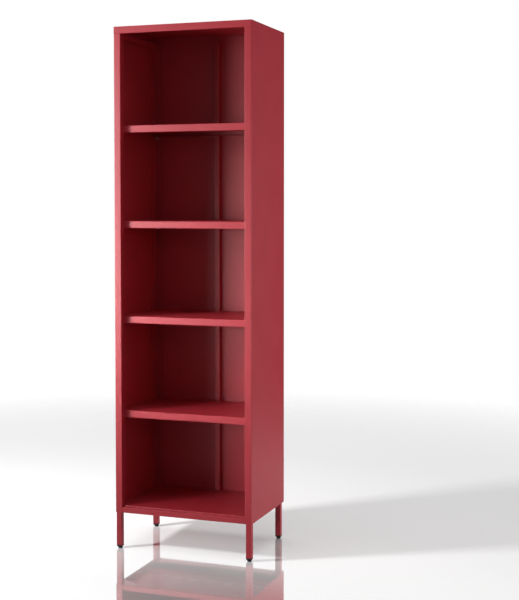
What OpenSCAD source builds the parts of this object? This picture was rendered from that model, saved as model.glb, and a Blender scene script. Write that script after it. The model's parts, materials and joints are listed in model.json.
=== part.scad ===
// Open steel bookcase: a folded sheet case on four square legs, with four shelves that
// lift off clips hooked into slotted uprights.
// Frame: +Z up, +X to the right of a person facing the open front, -Y the open front.
// The origin is the centre of the footprint, on the floor.

/* [Case] */
// Width over the side panels
case_w = 515; // [460:5:700]
// Depth from the front face to the rearmost rivet heads
case_d = 350; // [320:5:420]
// Height from the floor to the top face
case_h = 1850; // [1825:12.5:1950]
// Height of the top rail, seen from the front
top_rail_h = 25; // [22:1:40]
// Height of the bottom rail, seen from the front
bottom_rail_h = 20; // [15:1:22]
// Height of the step from the bottom rail up to the floor of the case
floor_step_h = 5; // [4:1:8]
// How far that step lies behind the front face
floor_step_d = 12; // [8:1:20]

/* [Sheet metal] */
// Thickness of every folded sheet
sheet = 1; // [0.8:0.1:1.2]
// Radius of each bend at the middle of the sheet
bend_r = 1.5; // [1.2:0.1:2]
// Width of the side panels' front flange
flange_w = 25; // [22:1:40]
// Depth of the front flange's return into the case
return_d = 25; // [22:1:30]
// Width of the side panels' rear flange
rear_flange_w = 15; // [12:1:22]

/* [Shelves] */
// Rise from one shelf level to the next, in slot steps
shelf_steps = 27; // [24:1:27]
// Width of a slot
slot_w = 12; // [9:0.5:14]
// Height of a slot
slot_h = 4.5; // [4:0.5:6]
// Height of a shelf's folded edge
shelf_h = 25; // [22:1:35]
// Width of the flange turned in under a shelf's front and rear edges
shelf_return = 15; // [13:1:25]

/* [Legs] */
// Length of a leg tube below the case
leg_l = 118; // [60:1:160]
// Side of the square leg tube
leg_w = 20; // [18:1:22]
// Wall of the leg tube
leg_wall = 1.5; // [1.2:0.1:2]
// Height of the plastic collar and foot below the leg tube
foot_h = 12; // [10:1:14]

/* [Wall fixing] */
// Distance between the two bracket holes in the top
anchor_spacing = 300; // [200:10:360]
// Diameter of a bracket hole
anchor_hole_d = 6.5; // [5:0.5:8]
// Distance of the bracket holes from the rear of the top
anchor_edge = 25; // [15:1:40]

/* [Hidden] */
$fn = 48;
shelf_count = 4;
slot_pitch = 12.5;                       // distance from one slot to the next, a standard size
half_w = case_w / 2;
front_y = -case_d / 2;
rivet_head_h = 1.2;
rear_y = case_d / 2 - rivet_head_h;      // outer face of the rear flanges
base_z = leg_l + foot_h;                 // underside of the case
floor_z = base_z + bottom_rail_h + floor_step_h;
mid = sheet / 2;                         // from a face to the middle of the sheet
fit_gap = 0.2;                           // clearance between sheets that slide past each other
cut = 1;                                 // how far a cutting shape reaches past what it cuts

// the rear flanges, the back panels and the tray rims lie one in front of the other
back_panel_y = rear_y - 2 * sheet;       // front face of the back panels
rim_y = back_panel_y - sheet;            // front face of the tray rims

// cleats under the top tray
cleat_w = 14;
cleat_h = 20;
cleat_front_gap = 4;                     // from the front face to a cleat's end
top_rim_h = 20;
top_rail_return = 12;                    // depth of the edge turned in under the top rail
cleat_top_z = case_h - sheet - top_rim_h;
cleat_bottom_z = cleat_top_z - cleat_h;

// uprights
wall_x = half_w - sheet;                 // inner face of a side wall
upright_w = flange_w - sheet;
upright_side_w = 34;
rear_upright_gap = 9;                    // clear space between the rear uprights and the back panels
front_upright_y = front_y + return_d;    // front face of the front uprights
rear_upright_y = back_panel_y - rear_upright_gap; // rear face of the rear uprights
slot_x = half_w - 13.5;                  // middle of the clip slots

// shelves
shelf_gap = 1;                           // running gap round a shelf
shelf_x = wall_x - sheet - shelf_gap;
shelf_front_y = front_upright_y + sheet + shelf_gap;
centre_post_d = 14;                      // depth of the post on the back panels
centre_post_w = 20;
shelf_rear_y = back_panel_y - centre_post_d - shelf_gap;
function shelf_top(level) = floor_z + (shelf_count + 1 - level) * shelf_steps * slot_pitch;

// clip slots: one series of heights for every upright, set by where a clip's tongue sits
tongue_drop = 6;                         // from a shelf's underside to the middle of its slot
slot_start_z = shelf_top(shelf_count) - shelf_h - tongue_drop;
slots_below = floor((slot_start_z - floor_z - 25) / slot_pitch); // the last is 25 above the floor
slots_above = floor((cleat_bottom_z - 65 - slot_start_z) / slot_pitch); // or 65 below the cleat

// legs
leg_inset_x = 1.5;                       // from the case's side face
leg_inset_front = 2;
rear_leg_inset = 18;                     // from the rear face
plate_t = 3;
plate_z = base_z + sheet;
plate_size = 50;
leg_x = half_w - leg_inset_x - leg_w / 2;
front_leg_y = front_y + leg_inset_front + leg_w / 2;
rear_leg_y = rear_y - rear_leg_inset - leg_w / 2;
collar_h = 4.5;
m8_r = 4;
m8_hole_r = 4.1;

STEEL_RED = [0.72, 0.20, 0.25];
ZINC = [0.75, 0.76, 0.78];
BLACK = [0.08, 0.08, 0.08];

// ---- folded sheet -------------------------------------------------------------------

function unit(v) = v / norm(v);
function left_of(v) = [-v[1], v[0]];
function turned(v, a) = [v[0] * cos(a) - v[1] * sin(a), v[0] * sin(a) + v[1] * cos(a)];
function reversed(v) = [for (i = [len(v) - 1 : -1 : 0]) v[i]];

// the bend at b between a and c, on the line that runs side_off to the left of the sheet's middle
function bend(a, b, c, side_off) =
    let (d1 = unit(b - a), d2 = unit(c - b), turn = acos(d1 * d2),
         s = sign(d1[0] * d2[1] - d1[1] * d2[0]),
         centre = b - bend_r * tan(turn / 2) * d1 + s * bend_r * left_of(d1),
         spoke = -s * left_of(d1), steps = 4)
    [for (i = [0 : steps]) centre + (bend_r - s * side_off) * turned(spoke, s * turn * i / steps)];

function sheet_side(path, side_off) =
    let (n = len(path), first = unit(path[1] - path[0]), last = unit(path[n - 1] - path[n - 2]))
    concat([path[0] + side_off * left_of(first)],
           [for (i = [1 : n - 2]) each bend(path[i - 1], path[i], path[i + 1], side_off)],
           [path[n - 1] + side_off * left_of(last)]);

// outline of a sheet folded along a path, which is the middle of its thickness
module folded(path) {
    polygon(concat(sheet_side(path, mid), reversed(sheet_side(path, -mid))));
}

// a profile drawn in depth (Y) and height (Z), run along the width
module along_x(length) {
    rotate([90, 0, 90]) linear_extrude(length, center = true) children();
}

// a profile drawn in width (X) and height (Z), run from y0 to y1
module along_y(y0, y1) {
    translate([0, y1, 0]) rotate([90, 0, 0]) linear_extrude(y1 - y0) children();
}

// the right-hand piece for side = 1, its mirror image for side = -1
module on_side(side) {
    mirror([side < 0 ? 1 : 0, 0, 0]) children();
}

// a round hole through the sheets that face front and back
module hole_y(x, z, r) {
    translate([x, rear_y + cut, z]) rotate([90, 0, 0]) cylinder(r = r, h = rear_y - rim_y + 2 * cut);
}

// ---- where the fixings are ---------------------------------------------------------

rivet_r = 2;
rivet_hole_r = 2.05;
rivet_rows = 7;
rivet_edge_x = half_w - 8;
rivet_post_x = centre_post_w / 2 + 6;    // in the feet of the centre post
rivet_low_z = floor_z + 45;
rivet_step_z = (cleat_bottom_z - 45 - rivet_low_z) / (rivet_rows - 1);
rivet_zs = [for (i = [0 : rivet_rows - 1]) rivet_low_z + i * rivet_step_z];
rim_rivet_xs = [0.2 * case_w, 0.4 * case_w];
bottom_rivet_z = base_z + 12;
top_rivet_z = case_h - 10;
screw_ys = [-0.35 * case_d, 0, 0.35 * case_d];
screw_x = wall_x - cleat_w / 2;

module panel_rivet_holes() {
    for (z = rivet_zs, x = [rivet_edge_x, rivet_post_x]) hole_y(x, z, rivet_hole_r);
    for (x = rim_rivet_xs, z = [bottom_rivet_z, top_rivet_z]) hole_y(x, z, rivet_hole_r);
}

module rim_rivet_holes(z) {
    for (side = [-1, 1], x = rim_rivet_xs) hole_y(side * x, z, rivet_hole_r);
}

module anchor_holes() {
    for (side = [-1, 1])
        translate([side * anchor_spacing / 2, back_panel_y - anchor_edge, case_h - sheet - cut])
            cylinder(r = anchor_hole_d / 2, h = sheet + 2 * cut);
}

module screw_holes() {
    for (side = [-1, 1], y = screw_ys)
        translate([side * screw_x, y, cleat_top_z - sheet - cut]) cylinder(r = 2.6, h = 2 * (sheet + cut));
}

// ---- case -----------------------------------------------------------------------------

// wall, front flange with its return, and rear flange, folded from one sheet
module side_panel(side) {
    inner_x = half_w - flange_w;
    color(STEEL_RED) on_side(side) difference() {
        translate([0, 0, base_z]) linear_extrude(case_h - sheet - base_z) folded([
            [inner_x + mid, front_y + return_d],
            [inner_x + mid, front_y + mid],
            [half_w - mid, front_y + mid],
            [half_w - mid, rear_y - mid],
            [half_w - rear_flange_w, rear_y - mid]
        ]);
        // the top rail runs over the flange, and the return stops short of the leg plate
        translate([inner_x - cut, front_y - cut, case_h - top_rail_h])
            cube([flange_w + 2 * cut, cut + 2 * bend_r, top_rail_h]);
        translate([inner_x - cut, front_y + bend_r, case_h - top_rail_h])
            cube([flange_w - 2 * sheet, return_d + cut, top_rail_h]);
        translate([inner_x - cut, front_y + 2 * bend_r, base_z - cut])
            cube([flange_w - 2 * sheet, return_d, cut + sheet + plate_t + 2 * fit_gap]);
        for (z = rivet_zs) hole_y(rivet_edge_x, z, rivet_hole_r);
    }
}

module top_panel() {
    color(STEEL_RED) difference() {
        union() {
            along_x(case_w) folded([
                [front_y + top_rail_return, case_h - top_rail_h + mid],
                [front_y + mid, case_h - top_rail_h + mid],
                [front_y + mid, case_h - mid],
                [back_panel_y - mid, case_h - mid],
                [back_panel_y - mid, case_h - top_rim_h]
            ]);
            // side rims, turned in along the bottom to stand on the cleats
            for (side = [-1, 1]) on_side(side) {
                translate([wall_x - sheet, front_y + cleat_front_gap, cleat_top_z])
                    cube([sheet, rim_y - bend_r - mid - front_y - cleat_front_gap, top_rim_h + mid]);
                translate([wall_x - cleat_w, front_y + return_d, cleat_top_z])
                    cube([cleat_w - mid, rim_y - bend_r - mid - front_y - return_d, sheet]);
            }
        }
        // the front rail's turned-in edge is cut away where it would meet the cleats
        for (side = [-1, 1]) on_side(side)
            translate([wall_x - cleat_w - sheet, front_y + bend_r + mid, case_h - top_rail_h - cut])
                cube([cleat_w + 2 * sheet + cut, top_rail_return, sheet + 2 * cut]);
        // and the rear rim stops inside the side walls
        for (side = [-1, 1]) on_side(side)
            translate([wall_x - fit_gap, rim_y - bend_r, case_h - top_rim_h - cut])
                cube([2 * sheet + cut, bend_r + 2 * sheet, top_rim_h + cut - sheet]);
        screw_holes();
        rim_rivet_holes(top_rivet_z);
        anchor_holes();
    }
}

// a channel welded along the wall, open below, that carries the top tray
module top_cleat(side) {
    color(STEEL_RED) on_side(side) difference() {
        along_y(front_y + cleat_front_gap, rim_y - sheet) folded([
            [wall_x - mid, cleat_bottom_z],
            [wall_x - mid, cleat_top_z - mid],
            [wall_x - cleat_w + mid, cleat_top_z - mid],
            [wall_x - cleat_w + mid, cleat_bottom_z]
        ]);
        screw_holes();
    }
}

// floor of the case: rail and step at the front, rims all round, turned in below
module bottom_panel() {
    rail_x = half_w - flange_w - fit_gap;
    tray_x = wall_x - fit_gap;
    front_turn_in = 30;
    rear_turn_in = 45;
    rim_lift = 6;                        // from the underside of the case to a side rim's edge
    color(STEEL_RED) difference() {
        union() {
            along_x(2 * tray_x) folded([
                [front_y + front_turn_in, base_z + mid],
                [front_y + mid, base_z + mid],
                [front_y + mid, base_z + bottom_rail_h - mid],
                [front_y + floor_step_d - mid, base_z + bottom_rail_h - mid],
                [front_y + floor_step_d - mid, floor_z - mid],
                [back_panel_y - mid, floor_z - mid],
                [back_panel_y - mid, base_z + mid],
                [back_panel_y - rear_turn_in, base_z + mid]
            ]);
            for (side = [-1, 1]) on_side(side)
                translate([tray_x - sheet, front_y + return_d + 2 * sheet, base_z + rim_lift])
                    cube([sheet, rim_y - front_y - return_d - 4 * sheet, floor_z - base_z - rim_lift - mid]);
        }
        for (side = [-1, 1]) on_side(side) {
            // the rail stops at the side panels' front flanges
            translate([rail_x, front_y - cut, base_z - cut])
                cube([flange_w + cut, cut + return_d + fit_gap, floor_z - base_z + 2 * cut]);
            // the turned-in edges stop at the legs
            translate([rail_x, front_y, base_z - cut])
                cube([flange_w + cut, rim_y - bend_r - mid - front_y, cut + 2 * sheet]);
        }
        rim_rivet_holes(bottom_rivet_z);
    }
}

module back_panel(side) {
    color(STEEL_RED) on_side(side) difference() {
        translate([fit_gap, back_panel_y, base_z + sheet])
            cube([wall_x - bend_r - fit_gap, sheet, case_h - base_z - 3 * sheet]);
        panel_rivet_holes();
    }
}

// hat section down the middle of the back, joining the two back panels
module back_centre_post() {
    foot_x = centre_post_w / 2 + 12;
    color(STEEL_RED) difference() {
        translate([0, 0, floor_z]) linear_extrude(case_h - top_rim_h - floor_z - 2 * fit_gap) folded([
            [-foot_x, back_panel_y - mid],
            [-centre_post_w / 2 + mid, back_panel_y - mid],
            [-centre_post_w / 2 + mid, back_panel_y - centre_post_d + mid],
            [centre_post_w / 2 - mid, back_panel_y - centre_post_d + mid],
            [centre_post_w / 2 - mid, back_panel_y - mid],
            [foot_x, back_panel_y - mid]
        ]);
        for (side = [-1, 1], z = rivet_zs) hole_y(side * rivet_post_x, z, rivet_hole_r);
    }
}

// ---- uprights and clips ---------------------------------------------------------------

// a flat strip from (u0, floor) to (u1, cleat), with a column of slots about slot_u
module slotted_strip(u0, u1, slot_u) {
    linear_extrude(sheet) difference() {
        translate([u0, floor_z]) square([u1 - u0, cleat_bottom_z - floor_z]);
        for (i = [-slots_below : slots_above])
            translate([slot_u - slot_w / 2, slot_start_z + i * slot_pitch - slot_h / 2])
                square([slot_w, slot_h]);
    }
}

// an angle of two slotted strips: one across the case at y_face, one along the wall
module upright(side, y_face, y_wall_end, across_w) {
    y_low = min(y_face, y_wall_end);
    y_high = max(y_face, y_wall_end);
    color(STEEL_RED) on_side(side) {
        translate([0, y_face < y_wall_end ? y_face + sheet : y_face, 0])
            rotate([90, 0, 0]) slotted_strip(wall_x - across_w, wall_x, slot_x);
        translate([wall_x - sheet, 0, 0])
            rotate([90, 0, 90]) slotted_strip(y_low, y_high, (y_low + y_high) / 2);
    }
}

module upright_front(side) {
    upright(side, front_upright_y, front_upright_y + upright_side_w, upright_w);
}

module upright_rear(side) {
    upright(side, rear_upright_y, rear_upright_y - upright_side_w, upright_w + sheet);
}

// one clip: a plate flat on the strip, a ledge under the shelf and a tongue through the slot.
// It faces +Y, with the strip's face at y = 0 and the shelf's underside at z = 0.
module clip(ledge_d) {
    clip_w = 12;
    clip_t = 1.5;
    clip_drop = 10;
    tongue_w = 8;
    tongue_h = 3;
    hook_gap = 0.5;                      // from the strip's far face to the hook
    hook_h = 4;
    hook_y = -sheet - hook_gap - clip_t;
    translate([-clip_w / 2, 0, -clip_drop]) cube([clip_w, clip_t, clip_drop - fit_gap]);
    translate([-clip_w / 2, 0, -fit_gap - clip_t]) cube([clip_w, ledge_d, clip_t]);
    translate([-tongue_w / 2, hook_y, -tongue_drop - tongue_h / 2])
        cube([tongue_w, clip_t - hook_y, tongue_h]);
    translate([-tongue_w / 2, hook_y, -tongue_drop - tongue_h / 2 - hook_h])
        cube([tongue_w, clip_t, hook_h + tongue_h]);
}

module shelf_clips(level) {
    bearing = 11;                        // how far a ledge reaches under the shelf
    z = shelf_top(level) - shelf_h;
    front_face = front_upright_y + sheet;
    rear_face = rear_upright_y - sheet;
    color(ZINC) for (side = [-1, 1]) {
        translate([side * slot_x, front_face, z]) clip(shelf_front_y - front_face + bearing);
        translate([side * slot_x, rear_face, z]) rotate([0, 0, 180])
            clip(rear_face - shelf_rear_y + bearing);
    }
}

// ---- shelves ----------------------------------------------------------------------------

module shelf(level) {
    z = shelf_top(level);
    side_rim_h = shelf_h - 5;
    corner_gap = 2 * sheet;              // between a side rim and the front and rear edges
    color(STEEL_RED) union() {
        along_x(2 * shelf_x) folded([
            [shelf_front_y + shelf_return, z - shelf_h + mid],
            [shelf_front_y + mid, z - shelf_h + mid],
            [shelf_front_y + mid, z - mid],
            [shelf_rear_y - mid, z - mid],
            [shelf_rear_y - mid, z - shelf_h + mid],
            [shelf_rear_y - shelf_return, z - shelf_h + mid]
        ]);
        for (side = [-1, 1]) on_side(side)
            translate([shelf_x - sheet, shelf_front_y + corner_gap, z - side_rim_h])
                cube([sheet, shelf_rear_y - shelf_front_y - 2 * corner_gap, side_rim_h - mid]);
    }
}

// hat section welded under the middle of a shelf, from side to side
module shelf_stiffener(level) {
    z = shelf_top(level) - sheet - mid;
    y = (shelf_front_y + shelf_rear_y) / 2;
    hat_w = 32;
    hat_h = 14;
    brim_w = 14;
    color(STEEL_RED) along_x(2 * (shelf_x - 2 * sheet)) folded([
        [y - hat_w / 2 - brim_w, z],
        [y - hat_w / 2, z],
        [y - hat_w / 2, z - hat_h],
        [y + hat_w / 2, z - hat_h],
        [y + hat_w / 2, z],
        [y + hat_w / 2 + brim_w, z]
    ]);
}

// ---- legs and feet ----------------------------------------------------------------------

// a leg's place: side is -1 or 1, row is -1 at the front and 1 at the rear
function leg_y(row) = row < 0 ? front_leg_y : rear_leg_y;

module at_leg(side, row) {
    translate([side * leg_x, leg_y(row), 0]) children();
}

module rounded_square(w, r) {
    steps = 4;
    inner = w / 2 - r;
    polygon([for (q = [0 : 3], i = [0 : steps])
        inner * [q == 0 || q == 3 ? 1 : -1, q < 2 ? 1 : -1]
            + r * [cos(90 * q + 90 * i / steps), sin(90 * q + 90 * i / steps)]]);
}

// square tube with a threaded cap welded in its top
module leg(side, row) {
    cap_t = 4;
    cap_w = leg_w - 2 * leg_wall + 2 * fit_gap; // it runs a little way into the tube's wall
    color(STEEL_RED) at_leg(side, row) difference() {
        union() {
            translate([0, 0, foot_h]) linear_extrude(plate_z - foot_h) difference() {
                rounded_square(leg_w, 2);
                square(leg_w - 2 * leg_wall, center = true);
            }
            translate([0, 0, plate_z - cap_t]) linear_extrude(cap_t) square(cap_w, center = true);
        }
        translate([0, 0, plate_z - cap_t - cut]) cylinder(r = m8_hole_r, h = cap_t + 2 * cut);
    }
}

// plate welded across the bottom corner of the case, which the leg is bolted to
module leg_plate(side, row) {
    x0 = wall_x - fit_gap;
    y0 = row < 0 ? front_y + 2 * bend_r + fit_gap : rim_y - bend_r - plate_size;
    color(STEEL_RED) difference() {
        on_side(side) translate([x0 - plate_size, y0, plate_z]) cube([plate_size, plate_size, plate_t]);
        at_leg(side, row) translate([0, 0, plate_z - cut]) cylinder(r = m8_hole_r, h = plate_t + 2 * cut);
    }
}

// plastic plug in the leg's lower end, with a collar as wide as the tube
module leg_insert(side, row) {
    plug_h = 24;
    plug_w = leg_w - 2 * leg_wall - fit_gap;
    color(BLACK) at_leg(side, row) difference() {
        union() {
            translate([0, 0, foot_h - collar_h]) linear_extrude(collar_h) rounded_square(leg_w, 2);
            translate([0, 0, foot_h - sheet]) linear_extrude(plug_h + sheet) square(plug_w, center = true);
        }
        translate([0, 0, foot_h - collar_h - cut])
            cylinder(r = m8_hole_r, h = plug_h + collar_h + 2 * cut);
    }
}

// round levelling foot, which tapers to the floor
stud_z = 2.5;
stud_l = 29;

module foot(side, row) {
    foot_top_z = foot_h - collar_h - 1.5 * fit_gap;
    foot_r = 9.4;
    base_r = 6.4;
    edge = 0.6;
    color(BLACK) at_leg(side, row) rotate_extrude() polygon([
        [0, 0], [base_r, 0], [base_r + edge, edge], [foot_r, foot_top_z - edge], [foot_r - edge, foot_top_z],
        [m8_r, foot_top_z], [m8_r, stud_z], [0, stud_z]
    ]);
}

module foot_stud(side, row) {
    color(ZINC) at_leg(side, row) translate([0, 0, stud_z]) cylinder(r = m8_r, h = stud_l);
}

// four hexagon bolts, dropped through the plates from inside the case
washer_t = 1.6;

module leg_bolts() {
    head_r = 7.5;
    head_h = 5.3;
    reach = 12;                          // from the plate's underside to the bolt's end
    color(ZINC) for (side = [-1, 1], row = [-1, 1]) at_leg(side, row) {
        translate([0, 0, plate_z + plate_t + washer_t]) cylinder(r = head_r, h = head_h, $fn = 6);
        translate([0, 0, plate_z - reach]) cylinder(r = m8_r, h = reach + plate_t + washer_t + cut);
    }
}

module leg_washers() {
    washer_r = 8;
    color(ZINC) for (side = [-1, 1], row = [-1, 1]) at_leg(side, row)
        translate([0, 0, plate_z + plate_t]) difference() {
            cylinder(r = washer_r, h = washer_t);
            translate([0, 0, -cut]) cylinder(r = m8_hole_r, h = washer_t + 2 * cut);
        }
}

// ---- small fixings ----------------------------------------------------------------------

// six pan-head screws up through the cleats into the top tray's rims, each with its nut
module top_screws() {
    head_r = 4.5;
    head_h = 2.5;
    m5_r = 2.5;
    screw_l = 8;
    nut_r = 4.6;
    nut_h = 4;
    color(ZINC) for (side = [-1, 1], y = screw_ys)
        translate([side * screw_x, y, cleat_top_z - sheet]) {
            translate([0, 0, -head_h]) cylinder(r = head_r, h = head_h);
            translate([0, 0, -cut]) cylinder(r = m5_r, h = screw_l);
            translate([0, 0, 2 * sheet]) cylinder(r = nut_r, h = nut_h, $fn = 6);
        }
}

// a domed blind rivet, its head on the rear face of the outermost sheet
module rivet(head_y) {
    head_r = 4;
    shank_l = 4.5;
    tail_h = 1.4;
    overlap = 0.1;
    translate([0, head_y, 0]) rotate([-90, 0, 0]) {
        rotate_extrude() polygon([
            [0, 0], [head_r, 0], [head_r - 0.4, 0.5], [head_r - 1.4, 1], [0, rivet_head_h]
        ]);
        translate([0, 0, -shank_l]) cylinder(r = rivet_r, h = shank_l + overlap);
        translate([0, 0, -shank_l]) cylinder(r = rivet_r + 0.6, h = tail_h);
    }
}

module back_rivets() {
    color(STEEL_RED) for (side = [-1, 1]) {
        for (z = rivet_zs) {
            translate([side * rivet_edge_x, 0, z]) rivet(rear_y);
            translate([side * rivet_post_x, 0, z]) rivet(rear_y - sheet);
        }
        for (x = rim_rivet_xs, z = [bottom_rivet_z, top_rivet_z])
            translate([side * x, 0, z]) rivet(rear_y - sheet);
    }
}

// ---- nodes ------------------------------------------------------------------------------

side_panel(-1);  // side_panel_left
side_panel(1);  // side_panel_right
top_panel();
top_cleat(-1);  // top_cleat_left
top_cleat(1);  // top_cleat_right
bottom_panel();
back_panel(-1);  // back_panel_left
back_panel(1);  // back_panel_right
back_centre_post();
upright_front(-1);  // upright_front_left
upright_front(1);  // upright_front_right
upright_rear(-1);  // upright_rear_left
upright_rear(1);  // upright_rear_right
shelf(1);  // shelf_1
shelf(2);  // shelf_2
shelf(3);  // shelf_3
shelf(4);  // shelf_4
shelf_stiffener(1);  // shelf_1_stiffener
shelf_stiffener(2);  // shelf_2_stiffener
shelf_stiffener(3);  // shelf_3_stiffener
shelf_stiffener(4);  // shelf_4_stiffener
shelf_clips(1);  // shelf_1_clips
shelf_clips(2);  // shelf_2_clips
shelf_clips(3);  // shelf_3_clips
shelf_clips(4);  // shelf_4_clips
leg(-1, -1);  // leg_front_left
leg(1, -1);  // leg_front_right
leg(-1, 1);  // leg_rear_left
leg(1, 1);  // leg_rear_right
leg_plate(-1, -1);  // leg_plate_front_left
leg_plate(1, -1);  // leg_plate_front_right
leg_plate(-1, 1);  // leg_plate_rear_left
leg_plate(1, 1);  // leg_plate_rear_right
leg_insert(-1, -1);  // leg_insert_front_left
leg_insert(1, -1);  // leg_insert_front_right
leg_insert(-1, 1);  // leg_insert_rear_left
leg_insert(1, 1);  // leg_insert_rear_right
foot(-1, -1);  // foot_front_left
foot(1, -1);  // foot_front_right
foot(-1, 1);  // foot_rear_left
foot(1, 1);  // foot_rear_right
foot_stud(-1, -1);  // foot_stud_front_left
foot_stud(1, -1);  // foot_stud_front_right
foot_stud(-1, 1);  // foot_stud_rear_left
foot_stud(1, 1);  // foot_stud_rear_right
leg_bolts();
leg_washers();
top_screws();
back_rivets();
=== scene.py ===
# %% [markdown]
# # An open steel bookcase on four legs
# The real object is a tall case of folded sheet steel, powder coated in one red. Two side panels,
# a top tray, a bottom tray and a riveted back make the case. Four shelves rest on zinc-plated
# clips, and four square legs end in black nylon levelling feet.
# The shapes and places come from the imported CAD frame. This file gives each piece the softened
# edges, threads and small fixings that the eye expects, and the finishes of the real thing.

# %% The frame
import json
import math

import bmesh
import bpy
from mathutils import Matrix, Vector


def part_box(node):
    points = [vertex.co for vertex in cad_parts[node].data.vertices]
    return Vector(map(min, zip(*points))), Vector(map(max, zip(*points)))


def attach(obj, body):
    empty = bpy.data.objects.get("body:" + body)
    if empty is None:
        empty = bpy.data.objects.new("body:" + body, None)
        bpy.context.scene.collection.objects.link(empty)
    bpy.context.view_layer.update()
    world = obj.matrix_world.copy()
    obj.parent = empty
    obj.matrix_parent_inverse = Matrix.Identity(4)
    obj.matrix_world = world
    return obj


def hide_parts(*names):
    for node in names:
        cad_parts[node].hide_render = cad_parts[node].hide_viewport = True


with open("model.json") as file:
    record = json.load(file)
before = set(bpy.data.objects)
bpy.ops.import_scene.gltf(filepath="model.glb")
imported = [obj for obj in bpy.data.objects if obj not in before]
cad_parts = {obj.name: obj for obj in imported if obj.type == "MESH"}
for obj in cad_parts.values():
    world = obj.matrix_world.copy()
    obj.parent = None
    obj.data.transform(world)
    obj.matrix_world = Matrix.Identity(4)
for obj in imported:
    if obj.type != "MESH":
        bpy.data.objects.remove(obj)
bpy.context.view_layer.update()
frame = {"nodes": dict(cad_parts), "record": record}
scene = bpy.context.scene
mm = 0.001
nodes = frame["nodes"]
bodies = frame["record"]["behaviour"]["bodies"]

# %% [markdown]
# ## The camera
# The camera comes first, because everything else is judged through it. It stands a little to the
# right of the case at chest height, turned to the left and dipped slightly, with a long lens, so
# that upright edges stay almost parallel. The small downward shift keeps the case high in the
# frame, with room for its reflection below the feet.

# %% Camera
camera_data = bpy.data.cameras.new("camera")
camera_data.lens = 72.67
camera_data.shift_y = -0.08
camera = bpy.data.objects.new("camera", camera_data)
camera.location = (1.6722, -4.0290, 1.2310)
turn_left = math.radians(19.77)
dip = math.radians(2.31)
camera.rotation_euler = (math.pi / 2 - dip, 0, turn_left)
scene.collection.objects.link(camera)
scene.camera = camera
print("camera:", round(camera_data.lens, 1), "mm lens")

# %% [markdown]
# ## Colours and nodes
# A designer writes a colour as an sRGB hex value, but Blender mixes light in linear values, so one
# function turns one into the other. A second function adds a shader node: its settings by name,
# and its inputs either as plain values or as the outputs that feed them. A Mix node has sockets for
# each kind of data. Its factor is input 0. Numbers go into inputs 2 and 3 and come out of output 0,
# while colours go into inputs 6 and 7 and come out of output 2.

# %% Colour and node helpers
def linear(code):
    """An sRGB hex colour as linear red, green, blue and alpha."""
    parts = [int(code[i:i + 2], 16) / 255 for i in (1, 3, 5)]
    return [p / 12.92 if p <= 0.04045 else ((p + 0.055) / 1.055) ** 2.4 for p in parts] + [1]


def add(tree, kind, feeds=None, **settings):
    """One new node, with its settings, and its inputs fed by values or by other nodes' outputs."""
    made = tree.nodes.new(kind)
    for name, value in settings.items():
        setattr(made, name, value)
    for name, value in (feeds or {}).items():
        if isinstance(value, bpy.types.NodeSocket):
            tree.links.new(value, made.inputs[name])
        else:
            made.inputs[name].default_value = value
    return made


def new_material(name):
    """An empty node material, and its tree."""
    material = bpy.data.materials.new(name)
    material.use_nodes = True
    material.node_tree.nodes.clear()
    return material, material.node_tree


print("coat red in linear light:", [round(c, 3) for c in linear("#AE2C37")])

# %% [markdown]
# ## Red powder coat
# Polyester powder is sprayed on dry and melted in an oven. It flows out almost flat, which leaves a
# satin skin with a faint orange peel about 2 mm across, and a fine grain from the powder. Under a
# lamp the skin shows broad soft highlights, and a slow drift in colour where the film is thicker.
# Three noises give those three sizes. Each noise is scaled from its real size: a Noise Texture at
# scale 1 has features about one unit across, so scale is one over the size in metres. The grain
# is really about 0.1 mm, too fine to see here, so it is drawn at 0.6 mm.

# %% Powder coat
def red_powder_coat():
    """Satin polyester powder coat on steel."""
    material, tree = new_material("red_powder_coat")
    place = add(tree, "ShaderNodeTexCoord").outputs["Object"]
    film = add(tree, "ShaderNodeTexNoise", {"Vector": place, "Scale": 1 / (90 * mm), "Detail": 3})
    peel = add(tree, "ShaderNodeTexNoise", {"Vector": place, "Scale": 1 / (2 * mm), "Detail": 1})
    grain = add(tree, "ShaderNodeTexNoise", {"Vector": place, "Scale": 1 / (0.6 * mm), "Detail": 2})
    colour = add(tree, "ShaderNodeMix", {
        0: film.outputs["Fac"], 6: linear("#A92A35"), 7: linear("#B32E3A")}, data_type="RGBA")
    gloss = add(tree, "ShaderNodeMapRange", {
        "Value": film.outputs["Fac"], "To Min": 0.36, "To Max": 0.44})
    peeled = add(tree, "ShaderNodeBump", {
        "Height": peel.outputs["Fac"], "Distance": 0.02 * mm, "Strength": 0.5})
    grained = add(tree, "ShaderNodeBump", {
        "Height": grain.outputs["Fac"], "Distance": 0.01 * mm, "Strength": 0.4,
        "Normal": peeled.outputs["Normal"]})
    coat = add(tree, "ShaderNodeBsdfPrincipled", {
        "Base Color": colour.outputs[2], "Roughness": gloss.outputs["Result"],
        "Normal": grained.outputs["Normal"], "IOR": 1.5})
    add(tree, "ShaderNodeOutputMaterial", {"Surface": coat.outputs["BSDF"]})
    return material


coat = red_powder_coat()
print("material:", coat.name, "with", len(coat.node_tree.nodes), "nodes")

# %% [markdown]
# ## Bright zinc
# Bolts, washers, screws, foot studs and shelf clips are plated with zinc and passivated. The
# plating is a real metal, so it is fully metallic and its colour is its reflection: a pale grey with
# a slightly blue cast. The passivate dries in cloudy patches a few millimetres across.

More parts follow.
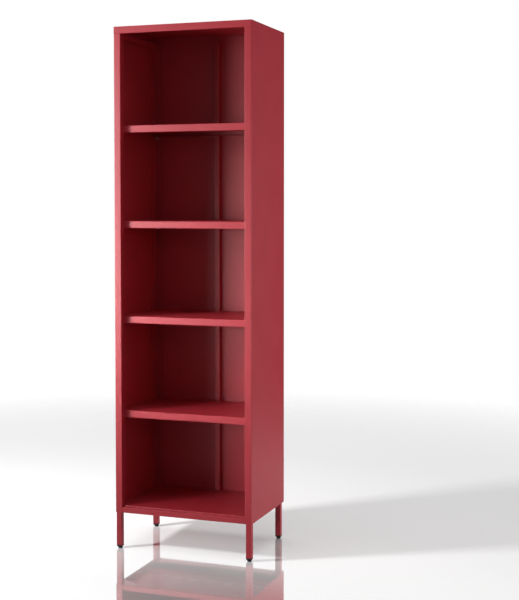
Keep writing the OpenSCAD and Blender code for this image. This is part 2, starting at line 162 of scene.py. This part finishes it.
# %% Zinc plating
def zinc_plated_steel():
    """Bright zinc plating with a clear passivate."""
    material, tree = new_material("zinc_plated_steel")
    place = add(tree, "ShaderNodeTexCoord").outputs["Object"]
    cloud = add(tree, "ShaderNodeTexNoise", {"Vector": place, "Scale": 1 / (4 * mm), "Detail": 4})
    colour = add(tree, "ShaderNodeMix", {
        0: cloud.outputs["Fac"], 6: linear("#B4B9BE"), 7: linear("#D3D3CE")}, data_type="RGBA")
    gloss = add(tree, "ShaderNodeMapRange", {
        "Value": cloud.outputs["Fac"], "To Min": 0.24, "To Max": 0.42})
    metal = add(tree, "ShaderNodeBsdfPrincipled", {
        "Base Color": colour.outputs[2], "Roughness": gloss.outputs["Result"], "Metallic": 1.0})
    add(tree, "ShaderNodeOutputMaterial", {"Surface": metal.outputs["BSDF"]})
    return material


zinc = zinc_plated_steel()
print("material:", zinc.name)

# %% [markdown]
# ## Black nylon
# The feet and the plugs above them are injection moulded in black nylon. The mould is spark
# eroded, which leaves an even matt grain of about 0.3 mm, drawn here at 0.5 mm.

# %% Nylon
def black_nylon():
    """Injection-moulded nylon with a spark-eroded grain."""
    material, tree = new_material("black_nylon")
    place = add(tree, "ShaderNodeTexCoord").outputs["Object"]
    spark = add(tree, "ShaderNodeTexNoise", {"Vector": place, "Scale": 1 / (0.5 * mm), "Detail": 2})
    colour = add(tree, "ShaderNodeMix", {
        0: spark.outputs["Fac"], 6: linear("#0A0A0B"), 7: linear("#121213")}, data_type="RGBA")
    matt = add(tree, "ShaderNodeBump", {
        "Height": spark.outputs["Fac"], "Distance": 0.03 * mm, "Strength": 0.5})
    nylon = add(tree, "ShaderNodeBsdfPrincipled", {
        "Base Color": colour.outputs[2], "Roughness": 0.6, "Normal": matt.outputs["Normal"], "IOR": 1.53})
    add(tree, "ShaderNodeOutputMaterial", {"Surface": nylon.outputs["BSDF"]})
    return material


nylon = black_nylon()
print("material:", nylon.name)

# %% [markdown]
# ## Finishing a piece
# Every piece ends the same way. Its faces are shaded smooth, but edges sharper than 35 degrees stay
# crisp, and Weighted Normal lets wide flat faces keep their own direction, so a flat looks flat
# right up to its bend. Then the piece rides on its CAD body and takes the place of its CAD node,
# which is hidden, and it gets the finish that the node's slot calls for.

# %% Piece helper
crease = math.radians(35)
finish_of = {"red_powder_coat": coat, "zinc_plated_steel": zinc, "black_nylon": nylon}
slot_of = {part["node"]: part["material_slot"] for part in frame["record"]["subparts"]}
body_of = {node: body for body, members in bodies.items() for node in members}


def finish_piece(bm, node):
    """Makes a mesh into the piece that stands for one CAD node."""
    for face in bm.faces:
        face.smooth = True
    for edge in bm.edges:
        edge.smooth = edge.is_manifold and edge.calc_face_angle() < crease
    mesh = bpy.data.meshes.new(node + "_finished")
    bm.to_mesh(mesh)
    bm.free()
    mesh.materials.append(finish_of[slot_of[node]])
    piece = bpy.data.objects.new(mesh.name, mesh)
    scene.collection.objects.link(piece)
    piece.modifiers.new("flat faces stay flat", "WEIGHTED_NORMAL").keep_sharp = True
    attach(piece, body_of[node])
    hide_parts(node)
    return piece


print("slots:", sorted(set(slot_of.values())))

# %% [markdown]
# ## Folded sheet
# The case, uprights, shelves and legs are sheet steel, cut by a punch and folded on a press. Their
# CAD shapes are right to the bend, but a cut edge on a real sheet is never knife sharp: the punch
# rolls it, and the coat rounds it further, to about a quarter of a millimetre. That thin round is
# what catches the light along every edge. So each sheet is a copy of its CAD mesh with the loose
# triangles merged, flat regions dissolved to single faces, and its cut edges bevelled.
# Walls of holes and slots are tiny faces, far too small to catch light, so they stay as they are.

# %% Sheet pieces
weld = 0.001 * mm  # vertices closer than this are one
edge_round = 0.22 * mm
hole_wall = 15 * mm * mm  # a face with a smaller area is a wall of a hole or slot


def merged_copy(node):
    """A copy of a CAD node's mesh with its doubles merged and its flat faces whole."""
    bm = bmesh.new()
    bm.from_mesh(nodes[node].data)
    bmesh.ops.remove_doubles(bm, verts=bm.verts, dist=weld)
    bmesh.ops.dissolve_limit(bm, angle_limit=math.radians(0.5), verts=bm.verts, edges=bm.edges)
    return bm


def soften(bm, width):
    """Rounds the sharp edges of a mesh, apart from those round holes and slots."""
    sharp = [edge for edge in bm.edges if edge.calc_face_angle() > crease
             and min(face.calc_area() for face in edge.link_faces) > hole_wall]
    bmesh.ops.bevel(bm, geom=sharp, offset=width, segments=2, profile=0.5, affect="EDGES",
                    material=-1, clamp_overlap=True)
    return len(sharp)


sheets = [node for node in nodes if slot_of[node] == "red_powder_coat" and node != "back_rivets"]
for node in sheets:
    bm = merged_copy(node)
    rounded = soften(bm, edge_round)
    finish_piece(bm, node)
    print(node, "- rounded edges:", rounded)

# %% [markdown]
# ## Building round pieces ring by ring
# Feet, plugs, bolts, washers, screws and rivets are all moulded, headed or turned about one axis, so
# one lathe-like helper makes them all. It starts from a circle, extrudes its edge from ring to ring,
# and puts each ring at a height with a reach: the distance from the axis in each direction. A ring
# can so be round, a hexagon, or a square with round corners. A stack that has a hole through it
# joins its last ring to its first, and any other stack gets a flat face at each end. First come
# the shapes that a ring can have.

# %% Ring shapes
full_turn = 2 * math.pi


def round_ring(radius):
    """A circle."""
    return lambda angle: radius


def hex_ring(across_flats):
    """A regular hexagon."""
    sector = full_turn / 6
    return lambda angle: across_flats / 2 / math.cos(angle % sector - sector / 2)


def square_ring(side, corner):
    """A square with round corners."""
    flat = side / 2 - corner

    def reach(angle):
        around = angle % (full_turn / 4)
        around = min(around, full_turn / 4 - around)
        if side / 2 * math.tan(around) <= flat:
            return side / 2 / math.cos(around)
        off = full_turn / 8 - around
        middle = flat * math.sqrt(2)
        return middle * math.cos(off) + math.sqrt(corner ** 2 - (middle * math.sin(off)) ** 2)

    return reach


def gripped_ring(radius, depth, grips):
    """A circle with shallow finger grips round it."""
    return lambda angle: radius - depth * (0.5 + 0.5 * math.cos(grips * angle))


print("a 20 mm square with 2 mm corners reaches", round(square_ring(20, 2)(full_turn / 8), 2), "mm")

# %% [markdown]
# ## Stacking the rings and placing the stack
# The stack itself is one loop of Extrude. Many of the small fixings share a CAD node, so two more
# helpers find the box of each solid in a node, and join a finished copy at each place.

# %% Stack and place helpers
def stack_rings(rings, steps=48, holed=False):
    """A closed solid about the Z axis, from a list of (height, ring)."""
    bm = bmesh.new()
    verts = bmesh.ops.create_circle(bm, segments=steps, radius=1.0)["verts"]
    first = edges = bm.edges[:]
    for number, (height, ring) in enumerate(rings):
        if number:
            grown = bmesh.ops.extrude_edge_only(bm, edges=edges)["geom"]
            verts = [part for part in grown if isinstance(part, bmesh.types.BMVert)]
            edges = [part for part in grown
                     if isinstance(part, bmesh.types.BMEdge) and part.is_boundary]
        for vert in verts:
            angle = math.atan2(vert.co.y, vert.co.x)
            vert.co = ring(angle) * Vector((math.cos(angle), math.sin(angle), 0))
            vert.co.z = height
    if holed:
        bmesh.ops.bridge_loops(bm, edges=first + edges)
    else:
        bmesh.ops.edgeloop_fill(bm, edges=first)
        bmesh.ops.edgeloop_fill(bm, edges=edges)
    bmesh.ops.recalc_face_normals(bm, faces=bm.faces)
    return bm


def centre(low, high, height):
    """The point at a height on the upright line through the middle of a box."""
    return Vector(((low.x + high.x) / 2, (low.y + high.y) / 2, height))


def join(bm, other, place, turn=None):
    """Adds another mesh to bm, turned about the origin and then moved to its place, and frees it."""
    carrier = bpy.data.meshes.new("carrier")
    other.to_mesh(carrier)
    other.free()
    carrier.transform(Matrix.Translation(place) @ (turn or Matrix.Identity(4)))
    bm.from_mesh(carrier)
    bpy.data.meshes.remove(carrier)


def islands(node):
    """The box of each separate solid in a CAD node, as (lowest corner, highest corner)."""
    bm = bmesh.new()
    bm.from_mesh(nodes[node].data)
    bmesh.ops.remove_doubles(bm, verts=bm.verts, dist=weld)
    waiting = set(bm.verts)
    boxes = []
    while waiting:
        front = {waiting.pop()}
        found = set(front)
        while front:
            front = {edge.other_vert(vert) for vert in front for edge in vert.link_edges} & waiting
            waiting -= front
            found |= front
        low, high = [Vector([pick(vert.co[axis] for vert in found) for axis in range(3)])
                     for pick in (min, max)]
        boxes.append((low, high))
    bm.free()
    return boxes


print("bolts:", len(islands("leg_bolts")), "- rivets:", len(islands("back_rivets")))

# %% [markdown]
# ## Threads
# A rolled thread is one groove that climbs a rod, and Spin makes it truly. The outline of one turn
# is swept round the axis while it rises by one pitch a turn, and each turn welds to the next. The
# sweep runs a turn past each end, and two cuts leave the ends flat. A metric thread's root lies 0.61
# of a pitch below its crest. The studs and the leg bolts are M8, 8 mm across with a 1.25 mm pitch.

# %% Threaded rod
turn_steps = 16
m8_radius = 4 * mm
m8_pitch = 1.25 * mm


def threaded_rod(radius, pitch, low, high):
    """A rod about the Z axis with a helical thread, from low to high."""
    root = radius - 0.61 * pitch
    outline = [(root, 0), (root, 0.12), (radius, 0.44), (radius, 0.56), (root, 0.88), (root, 1)]
    turns = math.ceil((high - low) / pitch) + 2
    bm = bmesh.new()
    points = [bm.verts.new((reach, 0, low + (up - 1) * pitch)) for reach, up in outline]
    chain = [bm.edges.new(pair) for pair in zip(points, points[1:])]
    bmesh.ops.spin(bm, geom=points + chain, cent=(0, 0, 0), axis=(0, 0, 1),
                   dvec=(0, 0, pitch / turn_steps), angle=full_turn * turns,
                   steps=turn_steps * turns, use_merge=False)
    bmesh.ops.remove_doubles(bm, verts=bm.verts, dist=2 * weld)
    for height, side in ((low, -1), (high, 1)):
        bmesh.ops.bisect_plane(bm, geom=bm.verts[:] + bm.edges[:] + bm.faces[:], dist=0.1 * weld,
                               plane_co=(0, 0, height), plane_no=(0, 0, side), clear_outer=True)
        rim = [edge for edge in bm.edges if edge.is_boundary
               and all(abs(vert.co.z - height) < weld for vert in edge.verts)]
        bmesh.ops.edgeloop_fill(bm, edges=rim)
    bmesh.ops.recalc_face_normals(bm, faces=bm.faces)
    return bm


sample = threaded_rod(m8_radius, m8_pitch, 0, 10 * mm)
open_edges = [edge for edge in sample.edges if not edge.is_manifold]
print("a 10 mm stud has", len(sample.faces), "faces and", len(open_edges), "open edges")
sample.free()

# %% [markdown]
# ## Levelling feet
# Each leg stands on a moulded nylon foot. It is a shallow cone, widest at the top, where fingers turn
# it by twelve small grips, and it narrows to a flat pad on the floor. Its M8 stud is moulded in,
# and climbs through the plug into the leg.

# %% Feet and studs
grips = 12
moulded_steps = 96  # vertices round a foot or plug, enough for its grips and corners


def levelling_foot(node):
    """A gripped cone with a flat pad, and a seat for its stud."""
    low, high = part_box(node)
    wide = (high.x - low.x) / 2
    tall = high.z - low.z
    pad = 0.68 * wide
    bm = stack_rings([
        (0, round_ring(pad - 0.5 * mm)),
        (0.12 * mm, round_ring(pad - 0.15 * mm)),
        (0.4 * mm, round_ring(pad)),
        (0.5 * tall, gripped_ring(0.92 * wide, 0.1 * mm, grips)),
        (0.6 * tall, gripped_ring(0.98 * wide, 0.4 * mm, grips)),
        (0.86 * tall, gripped_ring(wide, 0.4 * mm, grips)),
        (0.95 * tall, gripped_ring(wide - 0.2 * mm, 0.3 * mm, grips)),
        (tall, round_ring(wide - 0.8 * mm)),
        (tall, round_ring(m8_radius + 0.5 * mm)),
        (tall - 0.5 * mm, round_ring(m8_radius)),
        (0.4 * tall, round_ring(m8_radius)),
    ], steps=moulded_steps)
    bmesh.ops.translate(bm, verts=bm.verts, vec=centre(low, high, low.z))
    return finish_piece(bm, node)


def foot_stud(node):
    """An M8 stud."""
    low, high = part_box(node)
    bm = threaded_rod(m8_radius, m8_pitch, low.z, high.z)
    bmesh.ops.translate(bm, verts=bm.verts, vec=centre(low, high, 0))
    return finish_piece(bm, node)


for node in nodes:
    if node.startswith("foot_stud"):
        foot_stud(node)
    elif node.startswith("foot_"):
        foot = levelling_foot(node)
print("foot:", len(foot.data.polygons), "faces")

# %% [markdown]
# ## Leg plugs
# A nylon plug closes the lower end of each leg tube. Its collar is as wide as the tube and a little
# rounded, and above it a ribbed shank grips the inside of the tube. It has a plain bore for the stud.

# %% Plugs
m8_play = 0.1 * mm  # between an M8 thread and a plain hole, all round


def leg_plug(node):
    """A square collar and a ribbed shank, bored through."""
    low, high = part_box(node)
    side = high.x - low.x
    tall = high.z - low.z
    leg_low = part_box(node.replace("insert_", ""))[0]
    collar = leg_low.z - low.z
    shank = side - 3.2 * mm  # the tube's two walls, and a little play
    core = shank - 0.8 * mm
    corner = 2 * mm
    bore = m8_radius + m8_play
    ribs = 4
    pitch = (high.z - leg_low.z - 2 * mm) / ribs
    rings = [(0, round_ring(bore)), (0, square_ring(side - 1.2 * mm, corner)),
             (0.25 * mm, square_ring(side - 0.5 * mm, corner)), (0.8 * mm, square_ring(side, corner)),
             (collar, square_ring(side, corner)), (collar, square_ring(core, corner))]
    for number in range(ribs):
        start = collar + number * pitch
        rings += [(start + 0.4 * pitch, square_ring(core, corner)),
                  (start + 0.6 * pitch, square_ring(shank, corner)),
                  (start + 0.9 * pitch, square_ring(core, corner))]
    rings += [(tall, square_ring(shank - 2 * mm, corner)), (tall, round_ring(bore))]
    bm = stack_rings(rings, steps=moulded_steps, holed=True)
    bmesh.ops.translate(bm, verts=bm.verts, vec=centre(low, high, low.z))
    return finish_piece(bm, node)


for node in nodes:
    if node.startswith("leg_insert"):
        plug = leg_plug(node)
print("plug:", len(plug.data.polygons), "faces")

# %% [markdown]
# ## Bolts and washers
# A hexagon bolt's head is forged from round bar and then trimmed, which leaves its top a disc with
# six curved chamfers. A ring stack gives that shape: a round top ring, and below it a hexagon whose
# corners hang lower than its flats. An M8 head is 13 mm across its flats. Each bolt stands on a
# washer with rolled edges.

# %% Hexagon bolts and washers
m8_head_across = 13 * mm
chamfer = math.radians(30)


def chamfered_hexagon(across_flats, height, steps=48):
    """A bolt head or nut from z = 0 up, with the corners of both ends trimmed."""
    hexagon = hex_ring(across_flats)
    face = 0.475 * across_flats
    trim = 0.08 * across_flats
    bm = stack_rings([(0, round_ring(face)), (trim, hexagon),
                      (height - trim, hexagon), (height, round_ring(face))], steps=steps)
    for vert in bm.verts:
        out = math.hypot(vert.co.x, vert.co.y) - face
        if out > 0.1 * mm:
            slope = math.tan(chamfer) * out
            vert.co.z = slope if vert.co.z < height / 2 else height - slope
    return bm


def leg_bolts(node):
    """Four M8 bolts, at the places of the CAD node's four solids."""
    washer_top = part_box("leg_washers")[1].z
    into_head = 0.5 * mm  # the rod ends inside the head
    bm = bmesh.new()
    for low, high in islands(node):
        head = chamfered_hexagon(m8_head_across, high.z - washer_top)
        join(bm, head, centre(low, high, washer_top))
        join(bm, threaded_rod(m8_radius, m8_pitch, low.z, washer_top + into_head), centre(low, high, 0))
    return finish_piece(bm, node)


def leg_washers(node):
    """Four washers with rolled edges."""
    inner = m8_radius + m8_play
    roll = 0.25 * mm
    bm = bmesh.new()
    for low, high in islands(node):
        outer = (high.x - low.x) / 2
        thick = high.z - low.z
        washer = stack_rings([
            (roll, round_ring(inner)), (0, round_ring(inner + roll)),
            (0, round_ring(outer - roll)), (roll, round_ring(outer)),
            (thick - roll, round_ring(outer)), (thick, round_ring(outer - roll)),
            (thick, round_ring(inner + roll)), (thick - roll, round_ring(inner))], holed=True)
        join(bm, washer, centre(low, high, low.z))
    return finish_piece(bm, node)


print("bolts:", len(leg_bolts("leg_bolts").data.polygons), "faces")
print("washers:", len(leg_washers("leg_washers").data.polygons), "faces")

# %% [markdown]
# ## Screws of the top tray
# Six M5 pan-head screws go up through the cleats into the tray's rims, each with a nut. The head is
# a low dome with a hexagon socket for a key.

# %% Screws and nuts
m5_radius = 2.5 * mm
m5_pitch = 0.8 * mm
m5_head_radius = 4.5 * mm
m5_nut_across = 7.9 * mm
m5_nut_height = 4 * mm
key_across = 3 * mm


def pan_head(radius, height):
    """A domed head with a hexagon socket, its dome towards -Z and its flat face at z = 0."""
    socket = hex_ring(key_across)
    return stack_rings([
        (0, round_ring(radius)), (-0.35 * height, round_ring(radius)),
        (-0.7 * height, round_ring(0.9 * radius)), (-0.92 * height, round_ring(0.74 * radius)),
        (-height, round_ring(0.5 * radius)), (-height, socket), (-0.4 * height, socket)])


def top_screws(node):
    """The screws and their nuts, at the places of the CAD node's solids."""
    sheet = 1 * mm
    into_head = 0.2 * mm  # the rod starts inside the head
    cleat_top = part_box("top_cleat_left")[1].z
    under = cleat_top - sheet
    over = cleat_top + sheet
    bm = bmesh.new()
    for low, high in islands(node):
        join(bm, pan_head(m5_head_radius, under - low.z), centre(low, high, under))
        join(bm, threaded_rod(m5_radius, m5_pitch, under - into_head, high.z), centre(low, high, 0))
        join(bm, chamfered_hexagon(m5_nut_across, m5_nut_height, steps=24), centre(low, high, over))
    return finish_piece(bm, node)


print("screws:", len(top_screws("top_screws").data.polygons), "faces")

# %% [markdown]
# ## Blind rivets
# The back is closed with blind rivets, set from behind and coated with the case. The head is a low
# dome with the dimple that the broken mandrel leaves in its middle, and the tail is a plain bulb
# inside.

# %% Rivets
def blind_rivet(head, shank, dome, depth):
    """A rivet about the Z axis, its head's flat face at z = 0 and its dome towards +Z."""
    return stack_rings([
        (-depth, round_ring(0.6 * shank)), (-depth, round_ring(1.2 * shank)),
        (-0.72 * depth, round_ring(1.3 * shank)), (-0.66 * depth, round_ring(shank)),
        (0, round_ring(shank)), (0, round_ring(head - 0.1 * mm)),
        (0.12 * dome, round_ring(head)), (0.4 * dome, round_ring(0.93 * head)),
        (0.78 * dome, round_ring(0.7 * head)), (dome, round_ring(0.36 * head)),
        (0.95 * dome, round_ring(0.27 * head)), (0.3 * dome, round_ring(0.24 * head))], steps=24)


def back_rivets(node):
    """Every rivet of the back, at the places of the CAD node's solids."""
    backwards = Matrix.Rotation(math.radians(-90), 4, "X")
    shank = 2 * mm
    dome = 1.2 * mm
    bm = bmesh.new()
    for low, high in islands(node):
        rivet = blind_rivet((high.x - low.x) / 2, shank, dome, high.y - low.y - dome)
        join(bm, rivet, ((low.x + high.x) / 2, high.y - dome, (low.z + high.z) / 2), backwards)
    return finish_piece(bm, node)


print("rivets:", len(back_rivets("back_rivets").data.polygons), "faces")

# %% [markdown]
# ## Shelf clips
# A clip is pressed from zinc-plated strip: a plate lies flat on the upright, a ledge folded from it
# carries the shelf, and a narrower tongue goes through a slot and hooks down behind. Each strip
# starts as a chain of edges with its corners bevelled round. The chain is extruded to the strip's
# width, and Solidify gives it its thickness. Solidify works to one side only, so the sheet is first
# moved out by half its thickness, which keeps the drawn line in the middle of the strip.

# %% Clips
def folded_strip(line, bend, width, thick):
    """A strip folded along a line of (y, z) points, with round bends, centred on x = 0."""
    bm = bmesh.new()
    points = [bm.verts.new((-width / 2, y, z)) for y, z in line]
    chain = [bm.edges.new(pair) for pair in zip(points, points[1:])]
    bmesh.ops.bevel(bm, geom=points[1:-1], offset=bend, segments=4, profile=0.5,
                    affect="VERTICES", material=-1)
    grown = bmesh.ops.extrude_edge_only(bm, edges=bm.edges[:])["geom"]
    bmesh.ops.translate(bm, verts=[part for part in grown if isinstance(part, bmesh.types.BMVert)],
                        vec=(width, 0, 0))
    bmesh.ops.recalc_face_normals(bm, faces=bm.faces)
    bm.normal_update()
    for vert in bm.verts:
        vert.co += vert.normal * vert.calc_shell_factor() * thick / 2
    bmesh.ops.solidify(bm, geom=bm.faces[:], thickness=thick)
    bmesh.ops.recalc_face_normals(bm, faces=bm.faces)
    return bm


def shelf_clips(node):
    """Four clips, at the places of the CAD node's four solids, each facing into the case."""
    thick = 1.5 * mm
    half = thick / 2
    bend = 1.2 * mm
    tongue_width = 8 * mm
    plate = 3 * mm + half  # from the back of the hook to the middle of the plate
    slot = 5.5 * mm  # from the end of the hook to the middle of the tongue
    bm = bmesh.new()
    for low, high in islands(node):
        deep = high.y - low.y
        top = high.z - low.z - half
        bracket = folded_strip([(plate, thick), (plate, top), (deep, top)], bend, high.x - low.x, thick)
        tongue = folded_strip([(half, 0), (half, slot), (plate, slot)], bend, tongue_width, thick)
        at_front = high.y < 0
        place = ((low.x + high.x) / 2, low.y if at_front else high.y, low.z)
        turn = Matrix.Rotation(0 if at_front else math.pi, 4, "Z")
        for strip in (bracket, tongue):
            join(bm, strip, place, turn)
    return finish_piece(bm, node)


for node in nodes:
    if node.endswith("_clips"):
        clips = shelf_clips(node)
print("clips:", len(clips.data.polygons), "faces on each shelf's four")

# %% [markdown]
# ## The floor
# The case stands in a white studio on a polished floor. The floor is matt white paint with a clear
# gloss. The gloss shows most in front of the case, where the case is mirrored, and least behind
# it. Far out the floor fades into the white of the studio, so it has no edge.

# %% Floor
floor_radius = 6.0
floor_mesh = bpy.data.meshes.new("floor")
floor_bm = bmesh.new()
bmesh.ops.create_circle(floor_bm, cap_ends=True, segments=64, radius=floor_radius)
floor_bm.to_mesh(floor_mesh)
floor_bm.free()
floor = bpy.data.objects.new("floor", floor_mesh)
scene.collection.objects.link(floor)


def polished_floor():
    """Matt white paint under a clear gloss, which fades out far from the middle."""
    material, tree = new_material("polished_floor")
    place = add(tree, "ShaderNodeTexCoord").outputs["Object"]
    paint = add(tree, "ShaderNodeBsdfDiffuse", {"Color": (0.95, 0.95, 0.95, 1)})
    gloss = add(tree, "ShaderNodeBsdfGlossy", {"Color": (1, 1, 1, 1), "Roughness": 0.04})
    axes = add(tree, "ShaderNodeSeparateXYZ", {"Vector": place})
    share = add(tree, "ShaderNodeMapRange", {
        "Value": axes.outputs["Y"], "From Min": 0.2, "From Max": -0.5, "To Min": 0.3, "To Max": 0.8})
    both = add(tree, "ShaderNodeMixShader", {
        0: share.outputs["Result"], 1: paint.outputs["BSDF"], 2: gloss.outputs["BSDF"]})
    away = add(tree, "ShaderNodeVectorMath", {0: place}, operation="LENGTH")
    fade = add(tree, "ShaderNodeMapRange", {
        "Value": away.outputs["Value"], "From Min": 1.5, "From Max": 3.5})
    clear = add(tree, "ShaderNodeBsdfTransparent")
    shown = add(tree, "ShaderNodeMixShader", {
        0: fade.outputs["Result"], 1: both.outputs["Shader"], 2: clear.outputs["BSDF"]})
    add(tree, "ShaderNodeOutputMaterial", {"Surface": shown.outputs["Shader"]})
    return material


floor_mesh.materials.append(polished_floor())
print("floor:", 2 * floor_radius, "m across")

# %% [markdown]
# ## The surround
# The studio is white wherever the camera looks straight at it. Its own light on the case is a
# bright wall behind and to the left, which the floor mirrors, and a dim room in front, which gives
# the back panels their faint sheen. Each is a zone round one direction.

# %% World
world = bpy.data.worlds.new("studio")
scene.world = world
world.use_nodes = True
tree = world.node_tree
tree.nodes.clear()
bright_wall = Vector((-0.34, 0.92, 0.2)).normalized()
seen = add(tree, "ShaderNodeLightPath").outputs["Is Camera Ray"]
direction = add(tree, "ShaderNodeTexCoord").outputs["Generated"]
toward = add(tree, "ShaderNodeVectorMath", {0: direction, 1: bright_wall}, operation="DOT_PRODUCT")
wall = add(tree, "ShaderNodeMapRange", {
    "Value": toward.outputs["Value"], "From Min": 0.85, "From Max": 0.95, "To Min": 0.02, "To Max": 0.92})
ahead = add(tree, "ShaderNodeVectorMath", {0: direction, 1: (0, -1, 0)}, operation="DOT_PRODUCT")
room = add(tree, "ShaderNodeMapRange", {
    "Value": ahead.outputs["Value"], "From Min": 0.3, "From Max": 0.9, "To Min": 0.0, "To Max": 0.14})
around = add(tree, "ShaderNodeMath", {
    0: wall.outputs["Result"], 1: room.outputs["Result"]}, operation="ADD")
level = add(tree, "ShaderNodeMix", {0: seen, 2: around.outputs[0], 3: 1.0})
glow = add(tree, "ShaderNodeBackground", {"Color": (1, 1, 1, 1), "Strength": level.outputs[0]})
add(tree, "ShaderNodeOutputWorld", {"Surface": glow.outputs["Background"]})
print("world:", world.name)

# %% [markdown]
# ## Light linking
# A polished floor would mirror each softbox as a hard bright patch. Light linking keeps the case's
# lamps off the floor, and the floor's own lamps off the case. A collection holds the floor, marked
# as the one thing that its lamps light, or as the one thing that they don't.

# %% Light linking
def linked_to_floor(name, state):
    """A collection that lets a lamp light only the floor, or all but the floor."""
    group = bpy.data.collections.new(name)
    group.objects.link(floor)
    group.collection_objects[0].light_linking.link_state = state
    return group


floor_only = linked_to_floor("floor_only", "INCLUDE")
all_but_floor = linked_to_floor("all_but_floor", "EXCLUDE")
print("light linking:", floor_only.name, "and", all_but_floor.name)

# %% [markdown]
# ## Lamps
# Softboxes light the case. The key, at the front left, shows as a long highlight down the left
# flange. Two weak narrow lamps on the same side reach the lower shelves' edges, and a weak one at
# the front right lifts the shadows. One hangs overhead, and two on the right light the side wall.
# The floor has a wide lamp overhead, and one near the key that throws the case's long shadow.
# The Standard view shows each colour as it is, so that the studio stays white.

# %% Softboxes
def softbox(name, place, target, width, height, power, spread=180, lights=all_but_floor):
    """A rectangular studio lamp that faces its target."""
    lamp = bpy.data.lights.new(name, "AREA")
    lamp.shape = "RECTANGLE"
    lamp.size = width
    lamp.size_y = height
    lamp.energy = power
    lamp.spread = math.radians(spread)
    holder = bpy.data.objects.new(name, lamp)
    holder.location = place
    holder.rotation_euler = (Vector(target) - Vector(place)).to_track_quat("-Z", "Y").to_euler()
    holder.light_linking.receiver_collection = lights
    holder.visible_glossy = lights is not floor_only
    scene.collection.objects.link(holder)


softbox("key", (-1.72, -1.58, 1.56), (0, 0, 1.4), 0.7, 0.8, 10, spread=76)
softbox("low_key", (-1.6, -1.7, 0.85), (0.1, 0, 0.75), 0.6, 0.6, 1.6, spread=36)
softbox("front_left", (-2.1, -3.0, 1.0), (0.1, -0.15, 0.55), 0.7, 0.7, 1.2, spread=32)
softbox("front_right", (2.4, -2.6, 1.7), (0, 0, 1.2), 0.6, 0.6, 0.6, spread=60)
softbox("overhead", (0, -0.6, 3.6), (0, 0, 0.5), 3.0, 3.0, 45)
softbox("right_front", (3.2, -1.2, 1.4), (0, 0, 0.9), 1.6, 1.6, 7)
softbox("right_rear", (2.8, 1.0, 0.9), (0, 0, 0.7), 1.6, 1.2, 50)
softbox("floor_overhead", (0, 0, 4.5), (0, 0, 0), 5.0, 5.0, 164, lights=floor_only)
softbox("floor_left", (-1.85, -1.4, 1.9), (1.0, 0.4, 0), 0.35, 0.35, 85, lights=floor_only)
scene.view_settings.view_transform = "Standard"
